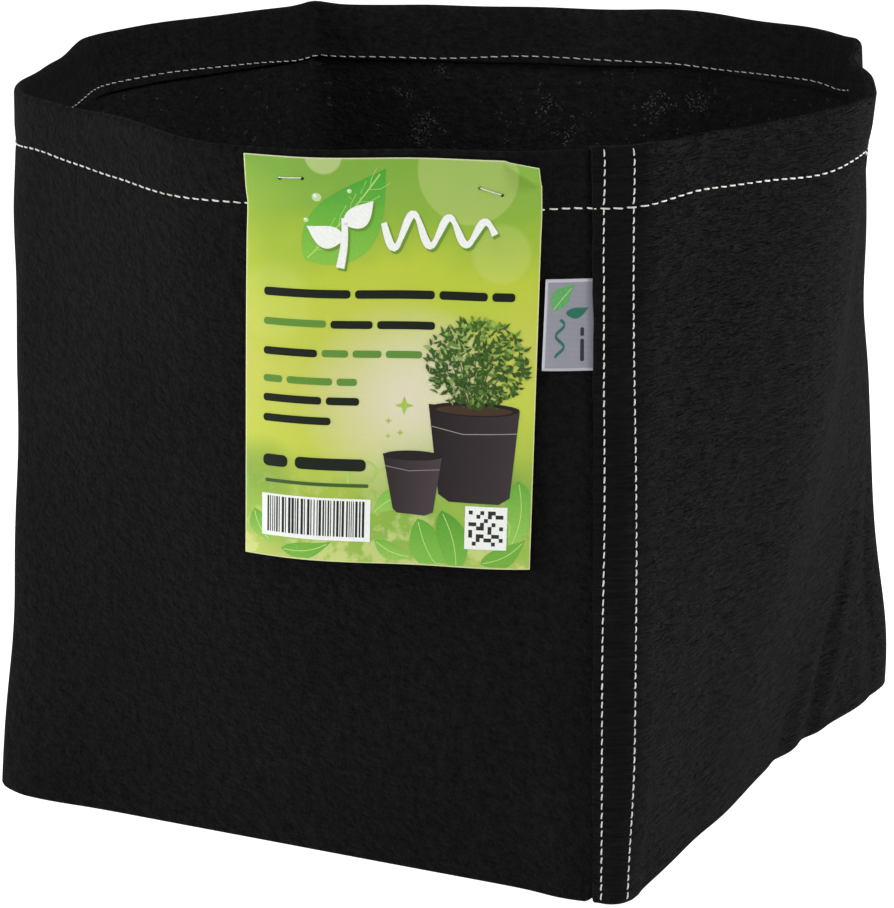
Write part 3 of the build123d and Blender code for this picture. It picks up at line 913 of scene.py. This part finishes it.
card_p = steps((0, 0.4, 2), (3, 102, 32), (103, CARD_WIDTH - 1.4, 16), (CARD_WIDTH - 0.4, CARD_WIDTH, 2))
card_q = steps((0, 0.4, 2), (1.6, 17, 14), (18.5, 26, 7), (31, CARD_HEIGHT - 3, 32),
               (CARD_HEIGHT - 0.4, CARD_HEIGHT, 2))
card_uv = np.stack(np.meshgrid(card_p, card_q, indexing="ij"), -1)
card = thick_sheet("information_card", card_point(card_uv[..., 0], card_uv[..., 1], CARD_T),
                   card_point(card_uv[..., 0], card_uv[..., 1], 0.0), card_uv, 0.0, True)
card.data.materials.append(card_front)
card.data.materials.append(card_paper)
front_faces, faces = (len(card_p) - 1) * (len(card_q) - 1), range(len(card.data.polygons))
card.data.polygons.foreach_set("material_index", [int(k >= front_faces) for k in faces])
card.data.polygons.foreach_set("use_smooth", [k < 2 * front_faces for k in faces])

INK, MID_GREEN, WHITE = (10, 20, 8), (92, 140, 54), (238, 240, 236)
art = []


def ink(outline, colour, layer):
    """Add a shape to the card's art, its colour as seen on a screen or a fade."""
    art.append((outline, colour if callable(colour) else rgb(*colour), layer))


def words(x, y, high, bold, *widths, gap=1.9):
    """Greeked words: plain bars with no letters."""
    for width in widths:
        ink(bar(x, y, width, high), INK if bold else MID_GREEN, 3)
        x += width + gap
    return x


def fade(a, b, start, span, down=True):
    """A colour that goes from one to another, down the card or across it."""
    a, b = rgb(*a), rgb(*b)

    def shade(x, y):
        t = min(max(((y if down else x) - start) / span, 0), 1)
        return tuple(p + (q - p) * t for p, q in zip(a, b))
    return shade


def on_card(points, margin=1.0):
    """Points kept off the card's edges."""
    return [(min(max(x, margin), CARD_WIDTH - margin), min(max(y, margin), CARD_HEIGHT - margin)) for x, y in points]


# a broad leaf with its veins and dew, behind a plain sprout and a white flourish, each over its soft shadow
ink(leaf(25, 41.5, 50, 31, -48, 0.05, 26), fade((74, 164, 52), (136, 192, 70), 9, 36), 1)
ink(stroke(np.column_stack([np.linspace(26, 56, 14), 40.5 - 34 * np.linspace(0, 1, 14) ** 1.05]), 0.6),
    (176, 214, 112), 2)
for k in range(6):
    x, y = 29.5 + 4.4 * k, 37.0 - 4.9 * k
    ink(stroke([(x, y), (x + 0.8, y - 4.2), (x + 3.2, y - 8.4)], 0.3), (164, 208, 104), 2)
    ink(stroke([(x, y), (x + 4.4, y - 0.2), (x + 8.4, y - 2.4)], 0.3), (164, 208, 104), 2)
for x, y, r in ((29.5, 15.5, 2.0), (25, 25, 1.1), (27.5, 28.5, 0.8), (43, 13, 1.0)):
    ink(disc(x, y, r, r * 0.9, 16), (190, 222, 158), 3)
    ink(disc(x - r * 0.3, y - r * 0.3, r * 0.4, n=10), WHITE, 4)
t = np.linspace(0, 1, 60)
wave = np.column_stack([57 + 46 * t, 29.0 + 0.5 * t + (7.6 - 3.4 * t) * np.sin(19.4 * t - 0.4)])
emblem = [stroke(np.column_stack([39.5 + 1.6 * np.sin(np.linspace(0, 2.4, 14)), np.linspace(44.5, 24, 14)]),
                 np.linspace(3.6, 2.4, 14)),
          leaf(41, 32.5, 16.5, 10.5, -162, -0.1, 14), leaf(40.5, 26.5, 15.5, 10.5, -38, 0.1, 14),
          stroke(wave, 2.0 + 1.2 * np.abs(np.sin(19.4 * t + 0.3)))]
for outline in emblem:
    ink([(x + 0.9, y + 1.1) for x, y in outline], (104, 146, 44), 4)
    ink(outline, WHITE, 5)

words(8, 53.6, 3.5, True, 36, 33, 20, 9.5)
words(words(8, 66.4, 3.0, False, 26), 66.4, 3.3, True, 17.5, 24)
words(words(8, 78.8, 3.3, True, 22.5), 78.8, 3.0, False, 11, 12, 15)
words(8, 90.8, 3.0, False, 8, 19, 8.5)
words(8, 98.9, 3.3, True, 24.5, 14)
words(8, 107.6, 3.3, True, 28.5)
words(8, 125.2, 5.2, True, 10.5, 30, gap=3.2)
ink(bar(9, 135.9, 44, 1.5), (60, 92, 40), 3)

# pale sparkles
for x, y, r in ((67.3, 101.8, 4.0), (60.8, 108.4, 1.5), (65.8, 113.4, 1.5), (60.8, 114.9, 1.2)):
    ink(star(x, y, r, 0.34), (160, 196, 70), 2)

# leaves and tendrils in the lower part
for x, y, long, wide, turn, bow, a, b in (
        (74, 150, 30, 15, 62, 0.08, (96, 164, 50), (140, 196, 84)),
        (84, 146, 32, 14, 78, -0.08, (84, 152, 46), (128, 188, 74)),
        (116, 132, 30, 15, 96, -0.1, (98, 164, 54), (150, 200, 90)),
        (70, 140, 18, 10, 150, 0.1, (130, 186, 76), (168, 208, 96)),
        (101, 168, 22, 10, -30, 0.1, (112, 172, 60), (150, 200, 84)),
        (56, 160, 18, 8, 22, 0.1, (120, 178, 66), (170, 210, 100)),
        (16, 166, 22, 8, -12, 0.1, (112, 172, 60), (160, 204, 96)),
        (4, 150, 16, 9, 60, 0.1, (104, 166, 58), (156, 200, 90))):
    ink(on_card(leaf(x, y, long, wide, turn, bow, 18), 0.8), fade(a, b, y, long), 1)
    spine = [(long * i, bow * long * sin(pi * i)) for i in np.linspace(0.05, 0.9, 10)]
    ink(stroke(on_card(turned(x, y, turn, spine)), 0.35), (186, 220, 130), 2)
for x, y, r, start, sweep in ((52, 132, 8.5, 150, 290), (61, 134, 6, 200, 300), (112, 116, 7, 100, 320),
                              (114, 104, 5, 250, -300), (108, 154, 9, 180, 300)):
    ink(stroke(on_card(curl(x, y, r, start, sweep)), np.linspace(1.0, 0.3, 26)), (168, 208, 96), 2)

# a plant in a plain pot, and a smaller pot
ink([(77.5, 100.8), (115.6, 102.8), (112.5, 139.5), (108, 142.3), (87, 142), (82.5, 139)],
    fade((30, 22, 25), (56, 46, 50), 80, 30, False), 3)
ink(stroke([(78.2, 110), (92, 113), (115.0, 112)], 0.35), (150, 142, 140), 5)
ink(disc(96.6, 102.4, 19.0, 3.0, 32), (30, 23, 22), 4)
ink(disc(96.6, 102.8, 16.0, 2.0, 28), (66, 46, 33), 5)
ink([(58.8, 122.3), (83.6, 123.5), (80.4, 147), (77, 148.6), (65.2, 147.7), (63.4, 146)],
    fade((40, 31, 34), (70, 60, 64), 60, 22, False), 5)
ink(disc(71.2, 123.0, 12.4, 2.1, 28), (28, 22, 22), 6)
ink(stroke([(59.8, 127.6), (70, 129.6), (82.8, 128.6)], 0.3), (140, 132, 130), 7)
for k in range(9):
    lean = (k - 4) / 4
    ink(stroke([(96.5 + lean * 2, 102), (96.5 + lean * 7, 93), (96.5 + lean * 13, 81 + 4 * abs(lean))],
               [0.7, 0.5, 0.3]), (70, 84, 40), 6)
for k in range(640):
    a, d = rng.uniform(0, tau), rng.uniform(0, 1) ** 0.55
    x, y = 97 + 21.5 * d * cos(a), 84 + 19.0 * d * sin(a)
    if y > 103 or x > CARD_WIDTH - 3.5:
        continue
    tone = rng.choice(3, p=(0.45, 0.35, 0.2)) if k > 330 else 0
    light = 0.3 + 0.7 * (1 - (y - 65) / 38)
    colour = tuple(c * (0.4 + 0.7 * light) for c in rgb(*((60, 96, 34), (98, 140, 54), (146, 180, 88))[tone]))
    art.append((leaf(x, y, rng.uniform(1.8, 4.4), rng.uniform(0.9, 1.7), rng.uniform(-170, 30), 0.1, 5), colour,
                7 + k % 5))

# dark dots where the staple legs go into the card
for x, y in ((14.9, 8.9), (24.1, 8.5), (96.6, 11.2), (105.6, 13.9)):
    ink(disc(x, y, 0.8, 0.65, 10), (26, 44, 16), 2)

# a panel of plain stripes and a panel of plain checks
ink(bar(7.6, 142.4, 46.4, 18.4, 0.2), WHITE, 3)
x = 10.0
while x < 51:
    w = rng.choice([0.4, 0.4, 0.7, 1.0])
    ink(bar(x, 143.4, w, 15.6, 0.0), (28, 28, 28), 4)
    x += w + rng.choice([0.45, 0.6, 0.9])
ink(bar(94.0, 143.4, 17.8, 18.4, 0.2), WHITE, 5)
for i in range(9):
    for j in range(9):
        if (i * 7 + j * 5 + i * j) % 3 == 0 or (i * 3 + j * 4) % 5 == 0:
            ink(bar(95.6 + i * 1.62, 145.2 + j * 1.66, 1.62, 1.66, 0.0), (40, 44, 40), 6)

card_art = printed("card_artwork", art, lambda p, q, off: card_point(p, q, CARD_T + off), card_ink, 4.5,
                   cuts=[*np.arange(3.0, 17, 3.5), *np.arange(18.5, 33, 2.5), *np.arange(36, CARD_HEIGHT, 5.5)])
middle = card_point(CARD_WIDTH / 2, CARD_TOP - CREASE_Z, 0.0)
for piece in (card, card_art):
    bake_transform(piece)
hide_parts("card_head", "card_flap")

# ---- woven label


def label_side(s, z, off):
    """A point of the label's stack, off from the wall: pressed under the lap, a little open at its free fold."""
    open_up = 1 - smooth(s, LABEL_FREE, LABEL_HINGE)
    # its free fold leans outwards to the bottom
    s = s - 2.0 * np.clip((LABEL_HINGE - s) / (LABEL_HINGE - LABEL_FREE), 0, 1.1) * (LABEL_HIGH - z) / 38.0
    return wall(s, -(0.12 + off * (0.55 + 0.45 * open_up) + 0.5 * open_up), z)


PLY, PLY_LOW, PLY_HIGH = 0.32, 0.25, 1.19
LABEL_UNDER, LABEL_TURN = -4.2, LABEL_FREE + 0.6
ply_mid, ply_half = (PLY_LOW + PLY_HIGH) / 2, (PLY_HIGH - PLY_LOW) / 2
label_path = ([(s, PLY_LOW) for s in np.linspace(LABEL_UNDER, LABEL_TURN, 22)]
              + [(LABEL_TURN - 0.5 * sin(a), ply_mid - ply_half * cos(a)) for a in np.linspace(0, pi, 9)[1:-1]]
              + [(s, PLY_HIGH) for s in np.linspace(LABEL_TURN, LABEL_UNDER, 22)])
label_s, label_off = (np.array(c) for c in zip(*label_path))
way = unit(np.gradient(np.array(label_path), axis=0))
label_z = np.linspace(LABEL_LOW, LABEL_HIGH, 26)


def label_face(side):
    s, off = label_s + side * way[:, 1] * PLY / 2, label_off - side * way[:, 0] * PLY / 2
    return label_side(s[None, :], label_z[:, None], off[None, :])


# the tape's own coordinates: across the label from its fold, and up
across, up = np.meshgrid(np.abs(label_s - LABEL_FREE), label_z - LABEL_LOW)
label = thick_sheet("woven_label", label_face(1), label_face(-1), np.stack([across, up], -1), 0.0)
label.data.materials.append(label_tape)

LEAF_GREEN, TEAL = rgb(96, 170, 96), rgb(40, 110, 92)
t = np.linspace(0, 11, 36)
marks = [(leaf(3.5, 25.5, 13.5, 8.0, 52, 0.08, 18), LEAF_GREEN, 1), (leaf(8.5, 24.0, 9.5, 5.0, 14, -0.1, 14), TEAL, 2),
         (stroke([(3.7, 25.8), (6.5, 29.6), (10.6, 34.4)], 0.35), rgb(170, 214, 160), 3),
         (stroke(np.column_stack([6.4 + 1.6 * np.sin(t), np.linspace(21.5, 5.5, 36)]), 0.7 + 0.5 * np.abs(np.cos(t))),
          TEAL, 2),
         (bar(14.4, 14.5, 1.5, 3.6), rgb(46, 48, 54), 2), (bar(14.4, 4.0, 1.5, 9.4), rgb(46, 48, 54), 2)]


def label_front(x, y, off):
    return label_side(LABEL_FREE + x, LABEL_LOW + y, PLY_HIGH + PLY / 2 + off)


label_art = printed("label_artwork", marks, label_front, label_ink, 5.0)
for piece in (label, label_art):
    tuple(wall(LABEL_HINGE + 1.3, -0.6, 249.0) * MM)
    tuple(wall(LABEL_HINGE - 1.3, -0.6, 249.0) * MM)
    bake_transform(piece)
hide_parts("label_tail", "label_tab")

# ---- staples
STAPLE_WIRE = 0.26
front, back, half, bend = CARD_OFF + CARD_T + 0.3, -(LAYER + CLOTH + 0.4), 4.7, 0.9
route = [(-half + 3.2, back - 0.1), (-half + 1.6, back - 0.35), (-half + 0.6, back - 0.2), (-half, back + 0.5),
         (-half, -1.5)]
route += [(-half + bend - bend * cos(a), front - bend + bend * sin(a)) for a in np.linspace(0, pi / 2, 5)]
route += [(-2.2, front), (0.0, front)]
along, off = np.array(route + [(-x, y) for x, y in route[:-1][::-1]]).T
for name, (s, z, tilt) in STAPLES.items():
    tilt = radians(tilt)
    verts, faces = tube(wall(s + along * cos(tilt), -off, z + along * sin(tilt)), STAPLE_WIRE, 10)
    staple = mesh_object(f"{name}_wire", verts, faces, [(0.0, 0.0)] * len(verts))
    finish_piece(staple, wire, name)

# ---- studio
scene = bpy.context.scene
scene.view_settings.view_transform = "Standard"
world = bpy.data.worlds.new("studio_world")
scene.world = world
world.use_nodes = True
tree = world.node_tree
tree.nodes.clear()
both, out = tree.nodes.new("ShaderNodeMixShader"), tree.nodes.new("ShaderNodeOutputWorld")
tree.links.new(tree.nodes.new("ShaderNodeLightPath").outputs["Is Camera Ray"], both.inputs[0])
# a dim white fill lights the bag, and the backdrop behind it is plain white
for socket, strength in ((1, 0.17), (2, 1.0)):
    white = tree.nodes.new("ShaderNodeBackground")
    white.inputs["Color"].default_value, white.inputs["Strength"].default_value = (1, 1, 1, 1), strength
    tree.links.new(white.outputs[0], both.inputs[socket])
tree.links.new(both.outputs[0], out.inputs[0])

for name, place, aim, size, power in (
        ("left_softbox", (-0.95, -1.1, 0.45), (-0.12, -0.1, 0.16), (0.6, 0.7), 14.0),
        ("right_softbox", (1.35, -0.05, 1.35), (0.1, 0.0, 0.16), (0.45, 0.6), 17.0),
        ("right_low", (1.1, 0.8, 0.16), (0.1, 0.0, 0.16), (0.5, 0.3), 14.0),
        ("front_fill", (0.55, -2.3, 1.7), (0.0, 0.0, 0.16), (1.6, 1.2), 13.5)):
    softbox = bpy.data.lights.new(name, "AREA")
    softbox.shape, softbox.size, softbox.size_y, softbox.energy = "RECTANGLE", *size, power
    light = new_object(name, softbox)
    light.location = place
    light.rotation_euler = Vector(np.subtract(aim, place)).to_track_quat("-Z", "Y").to_euler()

floor_mesh = bpy.data.meshes.new("studio_floor")
floor_mesh.from_pydata([(-7, -7, -0.0004), (7, -7, -0.0004), (7, 7, -0.0004), (-7, 7, -0.0004)], [], [(0, 1, 2, 3)])
floor = new_object("studio_floor", floor_mesh)
paint = Shader("white_floor")
grain = paint.noise(paint.node("TexCoord").outputs["Object"], 3.0, 2.0, 0.5, "3D")
glow = paint.span(paint.node("LightPath").outputs["Is Camera Ray"], 0, 1, 0.3, 1.0)
paint.look(Base_Color=paint.mix(grain, (0.80, 0.80, 0.80), (0.83, 0.83, 0.83)), Roughness=0.9,
           Emission_Color=(1, 1, 1), Emission_Strength=glow)
floor.data.materials.append(paint.material)

FOCAL, IMAGE_W, IMAGE_H, CX, CY = 3542.0, 894, 908, 456.8, 407.8
AZIMUTH, ELEVATION, DISTANCE, AIM_Z = radians(26.727), radians(15.321), 1.653, 0.16
level = cos(ELEVATION)
look = np.array([-sin(AZIMUTH) * level, cos(AZIMUTH) * level, -sin(ELEVATION)])
cam = bpy.data.cameras.new("camera")
cam.lens, cam.sensor_width = FOCAL / IMAGE_H * 36.0, 36.0
cam.shift_x, cam.shift_y = (IMAGE_W / 2 - CX) / IMAGE_H, (CY - IMAGE_H / 2) / IMAGE_H
cam.clip_start, cam.clip_end = 0.05, 60.0
camera = new_object("camera", cam)
camera.location = np.array([0, 0, AIM_Z]) - look * DISTANCE
camera.rotation_euler = (pi / 2 - ELEVATION, 0, AZIMUTH)
scene.camera = camera
